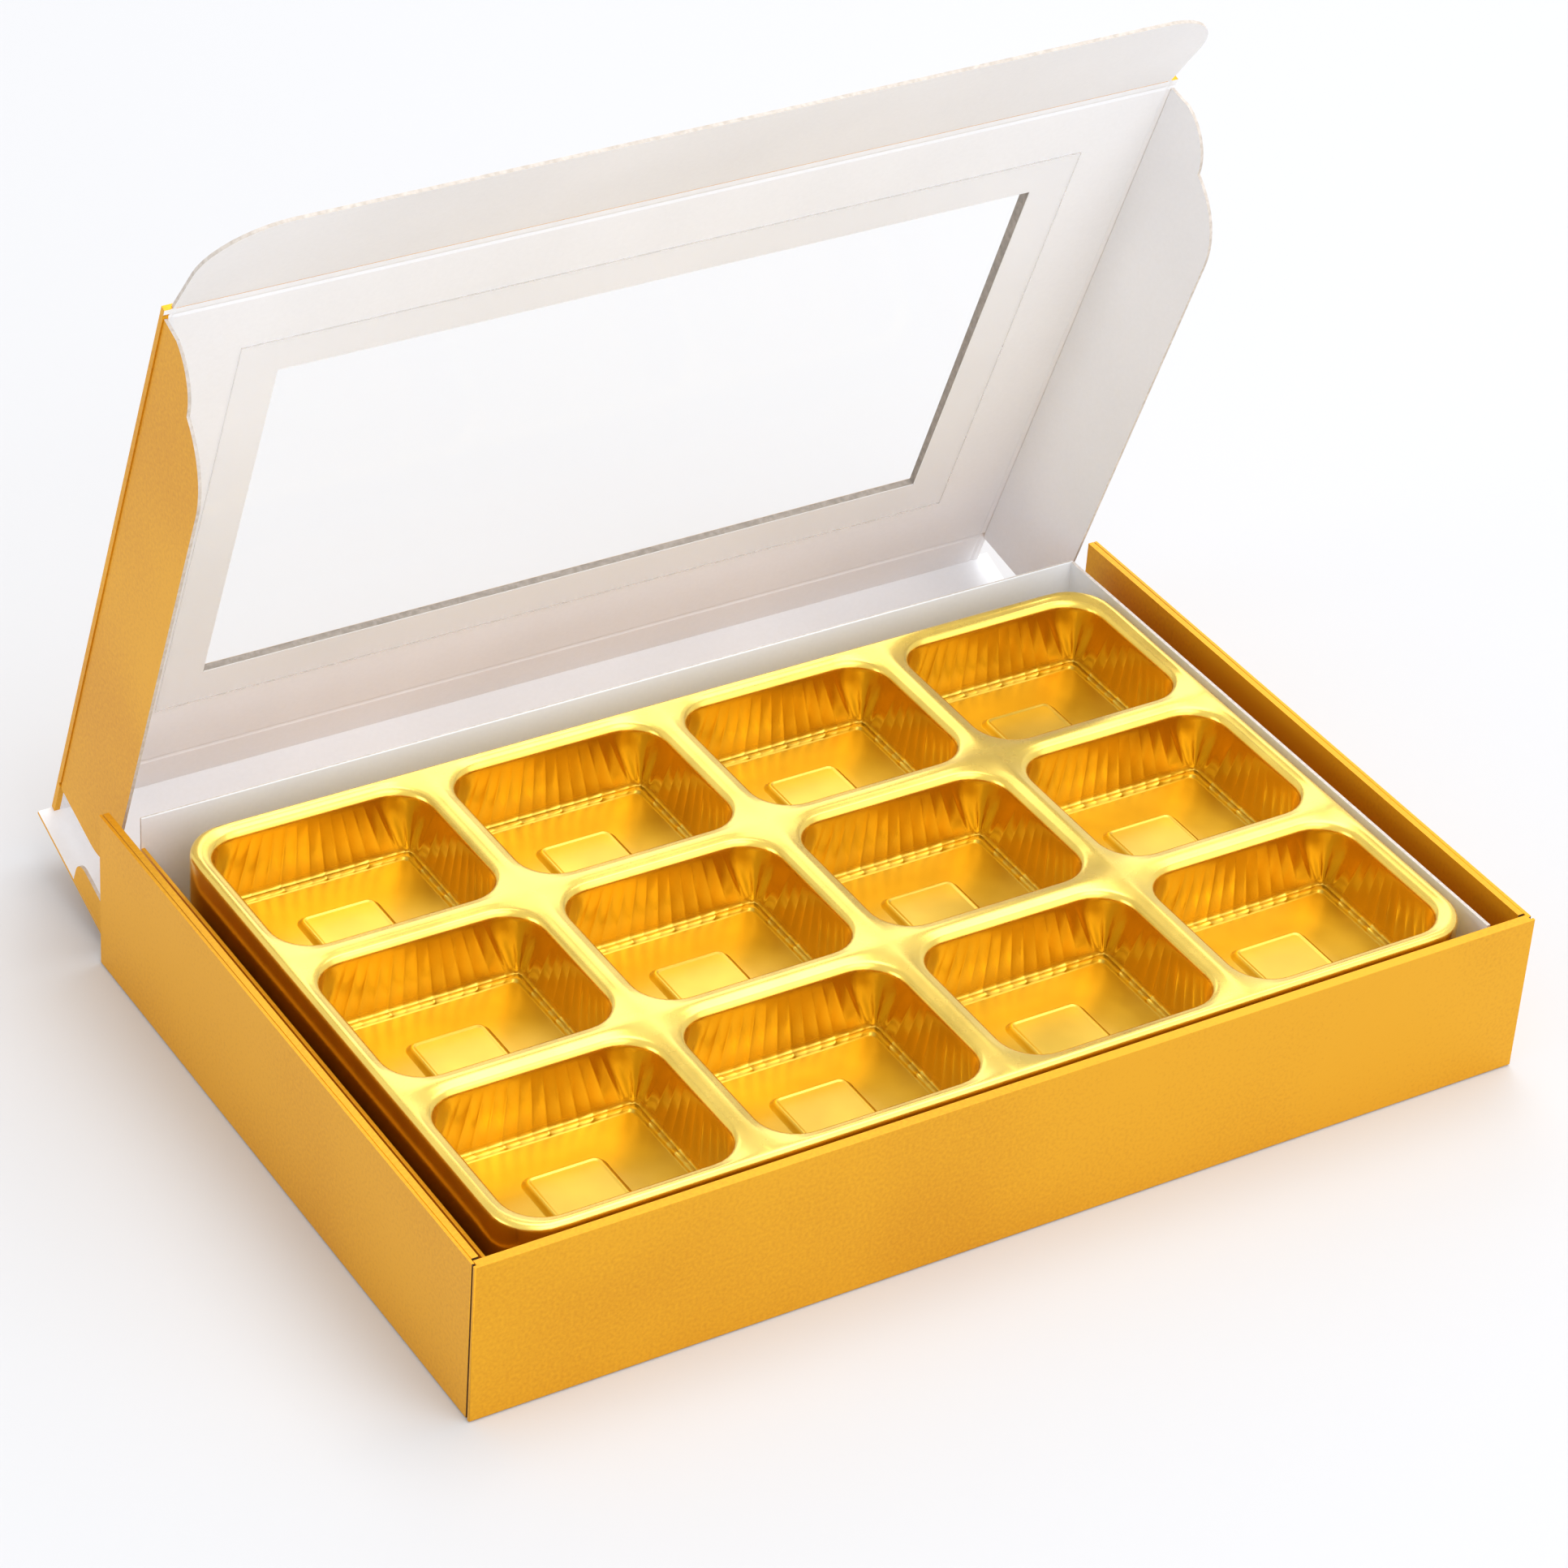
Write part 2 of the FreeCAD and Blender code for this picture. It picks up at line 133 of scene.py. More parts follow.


# Metallised PET: a bright gold sheet under a clear lacquer, vacuum formed. The colour is painted by height: the rim
# and the stamped panels are paler as a painted highlight, the drawn walls a deeper gold and the floors darker still
# as painted shade, and the gloss is a little uneven.
def makeGoldTray():
    # painted light by height, and gloss: from the floor (0) to the rim (1)
    look = {"paintedLightByHeight": [(0.0, "#D2A72A"), (0.025, "#E3BD43"), (0.1, "#F3C93A"), (0.84, "#F3C93C"), (1.0, "#F6D564")],
            "gloss": [(0.06, "#949494"), (0.14, "#767676"), (0.9, "#767676"), (1.0, "#868686")],
            "span": (13.4, 24.2), "cloud": (8.0, 2.0), "shade": [(0.3, "#EDEBE6"), (0.7, "#FFFFFF")],
            "uneven": (2.5, 3.0), "unevenShare": 0.06, "wave": (9.0, 2.0), "bump": (0.1, 0.15),
            "lacquer": 0.4, "lacquerRough": 0.2}
    material, tree, shader, place = newMaterial("metallisedPet")
    height = addNode(tree, "ShaderNodeSeparateXYZ", links={"Vector": place}).outputs["Z"]
    low, high = look["span"]
    level = addNode(tree, "ShaderNodeMapRange", values={"From Min": low / 1000, "From Max": high / 1000},
                    links={"Value": height}).outputs["Result"]
    cloud, uneven, wave = (
        addNode(tree, "ShaderNodeTexNoise", values={"Scale": perMm(size), "Detail": detail}, links={"Vector": place})
        for size, detail in (look["cloud"], look["uneven"], look["wave"]))
    # painted light: the base colour follows height, pale at the rim as a painted highlight, dark at the floor as
    # painted shade
    paintedLightByHeight = addNode(tree, "ShaderNodeValToRGB", links={"Fac": level}, stops=look["paintedLightByHeight"])
    shade = addNode(tree, "ShaderNodeValToRGB", links={"Fac": cloud.outputs["Fac"]}, stops=look["shade"])
    shaded = addNode(tree, "ShaderNodeMix", {"data_type": "RGBA", "blend_type": "MULTIPLY"}, {0: 1.0},
                     {6: paintedLightByHeight.outputs["Color"], 7: shade.outputs["Color"]})
    tree.links.new(shaded.outputs[2], shader.inputs["Base Color"])
    shader.inputs["Metallic"].default_value = 1.0
    # satin floor, shiny walls, a rim between the two
    gloss = addNode(tree, "ShaderNodeValToRGB", links={"Fac": level}, stops=look["gloss"])
    rough = addNode(tree, "ShaderNodeMath", {"operation": "MULTIPLY_ADD"}, {1: look["unevenShare"]},
                    {0: uneven.outputs["Fac"], 2: gloss.outputs["Color"]})
    tree.links.new(rough.outputs[0], shader.inputs["Roughness"])
    shader.inputs["Coat Weight"].default_value = look["lacquer"]
    shader.inputs["Coat Roughness"].default_value = look["lacquerRough"]
    shader.inputs["Coat IOR"].default_value = petIor
    depth, strength = look["bump"]
    bump = addNode(tree, "ShaderNodeBump", values={"Strength": strength, "Distance": depth / 1000},
                   links={"Height": wave.outputs["Fac"]})
    tree.links.new(bump.outputs["Normal"], shader.inputs["Normal"])
    return material


# Clear PET film: thin, glossy, almost unseen where nothing shines in it.
def makeFilm():
    look = {"colour": "#F6F7F8", "haze": 0.04, "rough": 0.06, "wave": (30.0, 2.0), "bump": (0.4, 0.1)}
    material, tree, shader, place = newMaterial("clearPetFilm")
    shader.inputs["Base Color"].default_value = hexLinear(look["colour"])
    shader.inputs["Roughness"].default_value = look["rough"]
    shader.inputs["IOR"].default_value = petIor
    shader.inputs["Alpha"].default_value = look["haze"]
    size, detail = look["wave"]
    wave = addNode(tree, "ShaderNodeTexNoise", values={"Scale": perMm(size), "Detail": detail},
                   links={"Vector": place})
    depth, strength = look["bump"]
    bump = addNode(tree, "ShaderNodeBump", values={"Strength": strength, "Distance": depth / 1000},
                   links={"Height": wave.outputs["Fac"]})
    tree.links.new(bump.outputs["Normal"], shader.inputs["Normal"])
    return material


# Edge of the film, where the light is caught inside the sheet.
def makeFilmEdge():
    look = {"tones": [(0.3, "#BDB8B4"), (0.7, "#D6D2CE")], "streak": (2.0, 2.0), "rough": 0.2, "haze": 0.4}
    material, tree, shader, place = newMaterial("petFilmEdge")
    size, detail = look["streak"]
    streak = addNode(tree, "ShaderNodeTexNoise", values={"Scale": perMm(size), "Detail": detail},
                     links={"Vector": place})
    tone = addNode(tree, "ShaderNodeValToRGB", links={"Fac": streak.outputs["Fac"]}, stops=look["tones"])
    tree.links.new(tone.outputs["Color"], shader.inputs["Base Color"])
    shader.inputs["Roughness"].default_value = look["rough"]
    shader.inputs["IOR"].default_value = petIor
    shader.inputs["Alpha"].default_value = look["haze"]
    return material


# Gold foil board: boxboard with a printed metallic face. Satin, with a grain and a faint cloudiness. The real grain
# is finer; this is as coarse as it needs to be to show.
goldBoard = makeBoard("goldFoilBoard", {
    "tones": [(0.55, "#D3900A"), (1.0, "#E6A818")], "fine": (0.5, 3.0), "fineShare": 0.8, "fineBump": (0.02, 0.3),
    "cloud": (45.0, 2.0), "coarse": (3.2, 2.0), "coarseBump": (0.04, 0.08), "metal": 0.55, "rough": 0.46})
# Uncoated boxboard back: bleached pulp, a cool white, matt. Its fibres too are drawn coarse enough to show.
whiteBoard = makeBoard("whiteBoxboard", {
    "tones": [(0.4, "#EAECF1"), (1.0, "#F3F5FA")], "fine": (0.6, 3.0), "fineShare": 0.4, "fineBump": (0.02, 0.2),
    "cloud": (30.0, 2.0), "coarse": (25.0, 2.0), "coarseBump": (0.2, 0.1), "metal": 0.0, "rough": 0.62})
cutEdge = makeCutEdge("boardPulpEdge", "#C2B8AE", "#D6CEC6")
# painted shade: the window's cut edge, darker grey than the plain pulp
punchedEdgeShade = makeCutEdge("punchedPulpEdgeShade", "#7F766D", "#9B9187")
# painted shade: a dark brown for the side walls' end faces in the narrow corner slit
seamShadeEdge = makeCutEdge("seamShadePulpEdge", "#4A2C0A", "#5E3A10")
goldTray = makeGoldTray()
clearFilm = makeFilm()
filmEdge = makeFilmEdge()
print("materials ready")

# Where the folds are, from the part's own joints
joints = {joint["name"]: joint for joint in frame["joints"]}


def foldAt(name):
    return Vector(joints[name]["pos_m"])


def frameOf(start, across, along):
    across = Vector(across).normalized()
    along = Vector(along).normalized()
    axes = Matrix((across, along, across.cross(along))).transposed().to_4x4()
    return Matrix.Translation(start) @ axes


def turned(degrees, axis):
    return Matrix.Rotation(math.radians(degrees), 4, axis)


def shifted(x, y, z):
    return Matrix.Translation(Vector((x, y, z)) / 1000)


lidOut = Vector(joints["left_ear_fold"]["axis"])
backUp = Vector(joints["left_tab_fold"]["axis"])
lidFrame = frameOf(foldAt("lid_fold"), (1, 0, 0), -lidOut)
backFrame = frameOf(foldAt("cover_swing"), (-1, 0, 0), backUp)
lidLength = (foldAt("flap_fold") - foldAt("lid_fold")).length * 1000
backLength = (foldAt("lid_fold") - foldAt("cover_swing")).length * 1000
earX = foldAt("right_ear_fold").x * 1000
tabX = foldAt("right_tab_fold").x * 1000


def corners(node):
    low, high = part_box(node)
    return low * 1000, high * 1000


def arcBetween(start, end, radius, count=10):
    # round run that bulges to the right of the way it goes
    start, end = Vector(start), Vector(end)
    chord = end - start
    left = Vector((-chord.y, chord.x)).normalized()
    centre = (start + end) / 2 + left * math.sqrt(max(radius ** 2 - (chord.length / 2) ** 2, 0.0))
    first = math.atan2(start.y - centre.y, start.x - centre.x)
    last = math.atan2(end.y - centre.y, end.x - centre.x)
    if last < first:
        last += 2 * math.pi
    steps = [first + (last - first) * i / count for i in range(count)]
    return [(centre.x + radius * math.cos(a), centre.y + radius * math.sin(a)) for a in steps]


def outlinePoints(points, radii):
    found = []
    for i, radius in enumerate(radii):
        end = points[(i + 1) % len(points)]
        found += arcBetween(points[i], end, radius) if radius else [points[i]]
    return found


def cutSheet(outline, low, high):
    # flat board with any outline, between two levels
    bm = bmesh.new()
    rings = [[bm.verts.new((x, y, z)) for x, y in outline] for z in (low, high)]
    bm.faces.new(rings[1])
    bm.faces.new(reversed(rings[0]))
    for i in range(len(outline)):
        j = (i + 1) % len(outline)
        bm.faces.new((rings[0][i], rings[0][j], rings[1][j], rings[1][i]))
    return bm


def plate(xs, ys, low, high, empty=(), dent=None, swell=None):
    # rectangular board in cells; dent moves points of the low face, swell those of the high face
    bm = bmesh.new()
    cells = {(i, j) for i in range(len(xs) - 1) for j in range(len(ys) - 1)} - set(empty)
    made = {}

    def corner(i, j, top):
        if (i, j, top) not in made:
            move = swell if top else dent
            lift = move(xs[i], ys[j]) if move else 0.0
            made[i, j, top] = bm.verts.new((xs[i], ys[j], (high if top else low) + lift))
        return made[i, j, top]

    for i, j in sorted(cells):
        ring = [(i, j), (i + 1, j), (i + 1, j + 1), (i, j + 1)]
        bm.faces.new([corner(a, b, True) for a, b in ring])
        bm.faces.new([corner(a, b, False) for a, b in reversed(ring)])
        besides = [(i, j - 1), (i + 1, j), (i, j + 1), (i - 1, j)]
        for k, beside in enumerate(besides):
            if beside not in cells:
                a, b = ring[k], ring[(k + 1) % 4]
                bm.faces.new((corner(*a, False), corner(*b, False), corner(*b, True), corner(*a, True)))
    return bm


sharpAngle = 1.0  # radians


def soften(bm, radius, segments=2, chosen=None):
    # rounds the sharp edges, all of them or the chosen ones
    sharp = [e for e in bm.edges if e.is_manifold and e.calc_face_angle(0) > sharpAngle]
    if chosen:
        sharp = [e for e in sharp if chosen((e.verts[0].co + e.verts[1].co) / 2)]
    made = bmesh.ops.bevel(bm, geom=sharp, offset=radius, segments=segments, affect="EDGES", profile=0.5)
    for face in made["faces"]:
        face.smooth = True


outFace, inFace, edgeFace, punchedFace = range(4)  # order of a piece's finishes
flatEnough = 0.4  # a face with less of its normal along Z is an edge


def addPiece(bm, name, place, finishes, body, nodes):
    # finishes: outside, inside and edge; the outside is where the piece's own Z points
    bm.normal_update()
    for face in bm.faces:
        facing = face.normal.z
        face.material_index = outFace if facing > flatEnough else inFace if facing < -flatEnough else edgeFace
    mesh = bpy.data.meshes.new(name)
    bm.to_mesh(mesh)
    bm.free()
    mesh.transform(place @ toMetres)
    for finish in finishes:
        mesh.materials.append(finish)
    piece = bpy.data.objects.new(name, mesh)
    bpy.context.scene.collection.objects.link(piece)
    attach(piece, body)
    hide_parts(*nodes)
    return piece


twoSided = (goldBoard, whiteBoard, cutEdge)
folded = (goldBoard, whiteBoard, goldBoard)
allGold = (goldBoard, goldBoard, goldBoard)
ground = Matrix.Identity(4)

# Base: bottom, rolled walls and the liner
base = {"board": 0.5, "edge": 0.12, "roll": 0.22, "rollClear": 0.3, "innerRoll": 0.45, "seam": 0.1,
        "cornerSlit": 0.42, "gussetRun": 13.0, "gussetPush": 0.9}


def addBottom():
    low, high = corners("base_panel")
    bm = plate([low.x, high.x], [low.y, high.y], -high.z, -low.z)
    soften(bm, base["edge"])
    # outside is downward, so the sheet is made upside down
    flip = turned(180, "X")
    for vert in bm.verts:
        vert.co.y = -vert.co.y
    bmesh.ops.reverse_faces(bm, faces=bm.faces[:])
    addPiece(bm, "bottomPanel", flip, twoSided, "base", ["base_panel"])


def addWall(side):
    # outer ply, then the ply that is rolled over the top, drawn end-on and run along the wall
    outerNode, innerNode = f"{side}_wall_outer", f"{side}_wall_inner"
    low, high = corners(outerNode)
    innerLow, innerHigh = corners(innerNode)
    alongX = side == "front"
    sign = -1 if side == "left" else 1
    slit = 0.0 if alongX else base["cornerSlit"]
    seam = 0.0 if alongX else base["seam"]
    # the side walls' end faces, in the slit at the front corners, are dark brown as painted shade
    finish = allGold if alongX else (seamShadeEdge, seamShadeEdge, goldBoard)

    def ends(a, b):
        return (a.x, b.x) if alongX else (a.y + slit, b.y)

    if alongX:
        place = frameOf(origin, (0, 1, 0), (0, 0, 1))
        outer = [low.y, high.y]
        inner = [innerLow.y, innerHigh.y]
    else:
        place = frameOf(origin, (-sign, 0, 0), (0, 0, 1))
        outer = sorted([-sign * low.x, -sign * high.x])
        inner = sorted([-sign * innerLow.x, -sign * innerHigh.x])
    # the wall's end-on axis runs along X for the front wall and along Y for the sides
    away = place.to_3x3() @ Vector((0, 0, 1))
    flip = 1 if (away.x if alongX else away.y) > 0 else -1
    span = sorted(flip * v for v in ends(low, high))
    innerSpan = sorted(flip * v for v in ends(innerLow, innerHigh))
    top = high.z
    bm = cutSheet([(outer[0], low.z), (outer[1], low.z), (outer[1], top), (outer[0], top)], *span)
    soften(bm, base["roll"], 3, lambda p: p.y > top - hair and p.x < outer[0] + hair)
    soften(bm, base["edge"], 2, lambda p: p.x < outer[0] + hair and p.y < top - base["rollClear"])
    if seam:
        soften(bm, seam, 1, lambda p: p.y > top - hair and p.x > outer[1] - hair)
    addPiece(bm, f"{side}WallOuter", place, finish, "base", [outerNode])
    ply = inner[1] - (inner[1] - inner[0]) / 2
    under = top - base["board"]
    bm = cutSheet([(inner[0], top), (inner[0], under), (ply, under), (ply, innerLow.z),
                   (inner[1], innerLow.z), (inner[1], top)], *innerSpan)
    soften(bm, base["innerRoll"], 4, lambda p: p.y > top - hair and p.x > inner[1] - hair)
    if seam:
        soften(bm, seam, 1, lambda p: p.y > top - hair and p.x < inner[0] + hair)
    addPiece(bm, f"{side}WallInner", place, finish, "base", [innerNode])


def addLiner():
    low, high = corners("inner_back_wall")
    run, push = base["gussetRun"], base["gussetPush"]
    # drawn in the wall's own plane, X to the left so that the outside looks to the back
    place = frameOf(origin, (-1, 0, 0), (0, 0, 1))
    bm = plate([low.x, low.x + run, high.x], [low.z, high.z], low.y, high.y,
               dent=lambda x, y: -push if (x, y) == (low.x, low.z) else 0.0)
    # slanted crease at the right end, where the wing was folded
    ends = [Vector((low.x, high.z)), Vector((low.x + run, low.z))]
    crease = [v for v in bm.verts if v.co.z < low.y + hair and min((v.co.xy - end).length for end in ends) < hair]
    bmesh.ops.connect_verts(bm, verts=crease)
    soften(bm, base["edge"], 1)
    addPiece(bm, "linerBackWall", place, twoSided, "base", ["inner_back_wall"])
    for side, sign in (("left", -1), ("right", 1)):
        low, high = corners(f"inner_{side}_wing")
        place = frameOf(origin, (0, sign, 0), (0, 0, 1))
        ys = sorted([sign * low.y, sign * high.y])
        xs = sorted([sign * low.x, sign * high.x])
        bm = plate(ys, [low.z, high.z], *xs)
        soften(bm, base["edge"], 1)
        # the left wing is gold on both sides instead of white inside, so the narrow gap beside the tray reads darker:
        # painted shade
        finish = allGold if side == "left" else twoSided
        addPiece(bm, f"{side}LinerWing", place, finish, "base", [f"inner_{side}_wing"])
    low, high = corners("inner_back_foot")
    bm = plate([low.x, high.x], [low.y, high.y], low.z, high.z)
    soften(bm, base["edge"], 1)
    addPiece(bm, "linerFoot", ground, (whiteBoard, goldBoard, cutEdge), "base", ["inner_back_foot"])


addBottom()
for side in ("front", "left", "right"):
    addWall(side)
addLiner()
# the glue tabs are hidden between the plies and stay the part's own solids
for name in ("front_left_glue_tab", "front_right_glue_tab"):
    frame["nodes"][name].data.materials.clear()
    frame["nodes"][name].data.materials.append(whiteBoard)
print("base ready")

# Cover: back panel, lid with its window, flap, ears and end tabs
cover = {"board": 0.5, "lidBoard": 0.9, "reach": 0.02, "edge": 0.08, "scoreUp": 6.5, "scoreWide": 0.9,
         "scoreDeep": 0.4, "creaseIn": 1.3, "creaseDeep": 0.15, "lipFront": 0.9, "lipRear": 0.35,
         "windowSide": 18.8, "windowFront": 17.2, "windowRear": 25.0, "backRound": 0.95, "lidRound": 0.96,
         "frontWhite": -0.05, "rightGold": -0.7}
flap = {"height": 21.0, "corner": 11.0, "endGap": 0.8}
ear = {"width": 17.4, "endGap": 1.2, "side": 4.25, "notchRun": 8.0, "notchWidth": 10.3, "run": 20.0,
       "lobe": 9.0, "shoulder": 13.7, "corner": 6.5, "tabGap": 0.8}
endTab = {"length": 5.0, "height": 10.0, "corner": 2.5, "lift": 3.5}
film = {"overlap": 6.5, "thick": 0.25, "glueLine": 0.03}


def addBackPanel():
    half = cover["board"] / 2
    root = half + cover["reach"]
    bm = plate([-tabX - half, tabX + half], [root, backLength + half], -half, half)
    soften(bm, half * cover["backRound"], 3, lambda p: p.y > root + hair)
    addPiece(bm, "backPanel", backFrame, folded, "back", ["back_panel"])


def addLid():
    half = cover["lidBoard"] / 2
    edge = earX + half
    front = -lidLength - half
    rear = -(cover["board"] / 2 + cover["reach"])
    score = -cover["scoreUp"]
    wide = cover["scoreWide"] / 2
    windowX = earX - cover["windowSide"]
    windowLow = cover["windowFront"] - lidLength
    windowHigh = -cover["windowRear"]
    creaseX = edge - cover["creaseIn"]
    creaseY = front + cover["creaseIn"]
    beside = [creaseX - wide, creaseX, creaseX + wide]
    xs = [-edge] + [-x for x in reversed(beside)] + [-windowX, windowX] + beside + [edge]
    ys = [front, creaseY - wide, creaseY, creaseY + wide, windowLow, windowHigh,
          score - wide, score, score + wide, rear]

    def pressed(x, y):
        if y == score:
            return cover["scoreDeep"]
        return cover["creaseDeep"] if abs(x) == creaseX or y == creaseY else 0.0

    def swollen(x, y):
        if abs(x) != windowX or y not in (windowLow, windowHigh):
            return 0.0
        return cover["lipFront"] if y == windowLow else cover["lipRear"]

    bm = plate(xs, ys, -half, half, [(xs.index(-windowX), ys.index(windowLow))], pressed, swollen)
    soften(bm, half * cover["lidRound"], 4, lambda p: abs(p.x) > edge - hair or p.y < front + hair)
    soften(bm, cover["edge"], 1,
           lambda p: abs(p.x) < windowX + hair and windowLow - hair < p.y < windowHigh + hair)
    piece = addPiece(bm, "lidPanel", lidFrame, folded, "lid", ["lid_panel"])
    # the window is cut after printing, so its edge shows the pulp; the front fold is white on its inner side, the
    # left one, seen from outside, is gold all round, and the right one shows a little white inside
    inverse = (lidFrame @ toMetres).inverted()
    # the window's cut edge takes the darker pulp as painted shade
    piece.data.materials.append(punchedEdgeShade)
    for face in piece.data.polygons:
        at = inverse @ face.center
        facing = face.normal.dot(lidFrame.col[2].xyz)
        if abs(at.x) < windowX + 2 * hair and windowLow - 2 * hair < at.y < windowHigh + 2 * hair:
            face.material_index = punchedFace
        elif at.y < front + half and facing < cover["frontWhite"]:
            face.material_index = inFace
        elif at.x < half - edge or (at.x > edge - half and facing > cover["rightGold"]):
            face.material_index = outFace


def addFilm():
    half = cover["lidBoard"] / 2
    side = earX - cover["windowSide"] + film["overlap"]
    near = cover["windowFront"] - lidLength - film["overlap"]
    far = film["overlap"] - cover["windowRear"]
    bm = plate([-side, side], [near, far], -half - film["thick"], -half - film["glueLine"])
    addPiece(bm, "windowFilm", lidFrame, (clearFilm, clearFilm, filmEdge), "lid", ["window_film"])


def addFlap():
    half = earX - flap["endGap"]
    far, corner = -flap["height"], flap["corner"]
    root = -(cover["lidBoard"] / 2 + cover["reach"])
    points = [(-half, far + corner), (corner - half, far), (half - corner, far), (half, far + corner),
              (half, root), (-half, root)]
    bm = cutSheet(outlinePoints(points, [corner, 0, corner, 0, 0, 0]), -cover["board"] / 2, cover["board"] / 2)
    soften(bm, cover["edge"], 1)
    lean = -joints["flap_fold"]["range_deg"][0]
    place = lidFrame @ shifted(0, -lidLength, 0) @ turned(lean, "X")
    addPiece(bm, "frontFlap", place, twoSided, "flap", ["front_flap"])


def addEar(side, sign):
    near = -endTab["length"] - ear["tabGap"]
    far = ear["endGap"] - lidLength
    root = cover["lidBoard"] / 2 + cover["reach"]
    width, corner = ear["width"], ear["corner"]
    points = [(root, far), (ear["side"], far), (ear["notchWidth"], far + ear["notchRun"]), (width, far + ear["run"]),
              (width, near - corner), (width - corner, near), (root, near)]
    points = outlinePoints(points, [0, ear["lobe"], ear["shoulder"], 0, corner, 0, 0])
    if sign < 0:
        points = [(-x, y) for x, y in reversed(points)]
    bm = cutSheet(points, -cover["board"] / 2, cover["board"] / 2)
    soften(bm, cover["edge"], 1)
    lean = 90 - joints[f"{side}_ear_fold"]["range_deg"][1]
    place = lidFrame @ shifted(sign * earX, 0, 0) @ turned(sign * lean, "Y")
    piece = addPiece(bm, f"{side}Ear", place, twoSided, f"{side}_ear_body", [f"{side}_ear"])
    # the board runs on through the fold, so no cut edge shows there
    inverse = (place @ toMetres).inverted()
    for face in piece.data.polygons:
        if abs((inverse @ face.center).x) < root + cover["edge"] and face.material_index == edgeFace:
            face.material_index = outFace


def addEndTab(side, sign):
    low, top = endTab["lift"], endTab["lift"] + endTab["height"]
    far, corner = endTab["length"], endTab["corner"]
    root = cover["board"] / 2 + cover["reach"]
    points = [(root, low), (far - corner, low), (far, low + corner), (far, top - corner),
              (far - corner, top), (root, top)]
    points = outlinePoints(points, [0, corner, 0, corner, 0, 0])
    # the back panel's own X looks left
    if sign > 0:
        points = [(-x, y) for x, y in reversed(points)]
    bm = cutSheet(points, -cover["board"] / 2, cover["board"] / 2)
    soften(bm, cover["edge"], 1)
    lean = 90 - joints[f"{side}_tab_fold"]["range_deg"][1]
    place = backFrame @ shifted(-sign * tabX, 0, 0) @ turned(-sign * lean, "Y")
    addPiece(bm, f"{side}EndTab", place, twoSided, f"{side}_tab_body", [f"back_{side}_tab"])


addBackPanel()
addLid()
addFlap()
for side, sign in (("left", -1), ("right", 1)):
    addEar(side, sign)
    addEndTab(side, sign)
addFilm()
print("cover ready")

# Tray: fluted cavities under a soft rim, with a stamped square in each floor
# wallLevels: share of the way down, share of the ribs' full depth
# footSteps: across the ledge, down its drop, shares of the teeth's depth and lift
# stampSteps: shares of the slope's run and of the rise
tray = {"columns": 4, "rows": 3, "border": 2.8, "rib": 4.4, "depth": 11.5, "draft": 5.0, "mouthCorner": 5.5,
        "floorCorner": 0.8, "mouthRound": 1.2, "mouthSteps": 5, "lip": 0.9, "lipSteps": 5, "rise": 1.0,
        "outlineCorner": 7.0, "crown": 0.25, "crownSteps": (0.35, 0.7),
        "flutePitch": 1.7, "ribCuts": (0.0, 0.33, 0.42, 0.5, 0.58, 0.67), "ribHalf": 0.17, "ribVary": 0.15,
        "toothVary": 0.4, "fluteEnd": 1.6, "fluteDeep": 0.08, "footDeep": 0.24, "footLift": 0.24,
        "wallLevels": ((0.06, 0.1), (0.16, 0.5), (0.3, 0.85), (0.5, 1.0), (0.75, 1.0), (0.93, 1.0)),
        "ledge": 0.9, "ledgeDrop": 0.5,
        "footSteps": ((0.0, 0.0, 1.0, 0.0), (0.12, 0.05, 1.0, 0.6), (0.45, 0.1, 0.9, 1.0), (0.8, 0.16, 0.6, 0.7),
                      (1.0, 0.5, 0.3, 0.2), (1.12, 0.9, 0.0, 0.0), (1.3, 1.0, 0.0, 0.0)),
        "stamp": (12.5, 11.4), "stampCorner": 1.8, "stampLeastCorner": 0.6, "stampRise": 0.65, "stampSlope": 0.8,
        "stampMargin": 1.6, "marginCorner": 3.2,
        "stampSteps": ((0.06, 0.0), (0.0, 0.0), (-0.08, 0.07), (-0.3, 0.32), (-0.7, 0.78), (-0.9, 1.06),
                       (-1.05, 1.16), (-1.25, 1.16), (-1.5, 1.03), (-1.7, 1.0)),
        "sheet": 0.4, "cornerSteps": 8, "pleat": 0.45, "pleatShare": 0.25}


def easeIn(value, low, high):
    t = min(max((value - low) / (high - low), 0.0), 1.0)
    return t * t * (3 - 2 * t)


def sideStops(halfRun):
    # along one side: where each point is, how far it stands on a wall rib and on a tooth of the foot
    count = max(2, round(2 * halfRun / tray["flutePitch"]))
    found = []
    for k in range(count):
        # no two ribs or teeth alike
        height = 1 - tray["ribVary"] + tray["ribVary"] * math.sin(2.4 * k + 1)
        toothHeight = 1 - tray["toothVary"] + tray["toothVary"] * math.sin(4.1 * k)
        for u in tray["ribCuts"]:
            s = -1 + 2 * (k + u) / count
            fade = easeIn((1 - abs(s)) * halfRun, 0.0, tray["fluteEnd"])
            rib = math.cos(math.pi / 2 * min(abs(u - 0.5) / tray["ribHalf"], 1.0)) ** 2
            tooth = (1 - abs(math.sin(math.pi * (u - 0.5)))) * toothHeight
            found.append((s, rib * height * fade, tooth * fade))
    return found + [(1.0, 0.0, 0.0)]


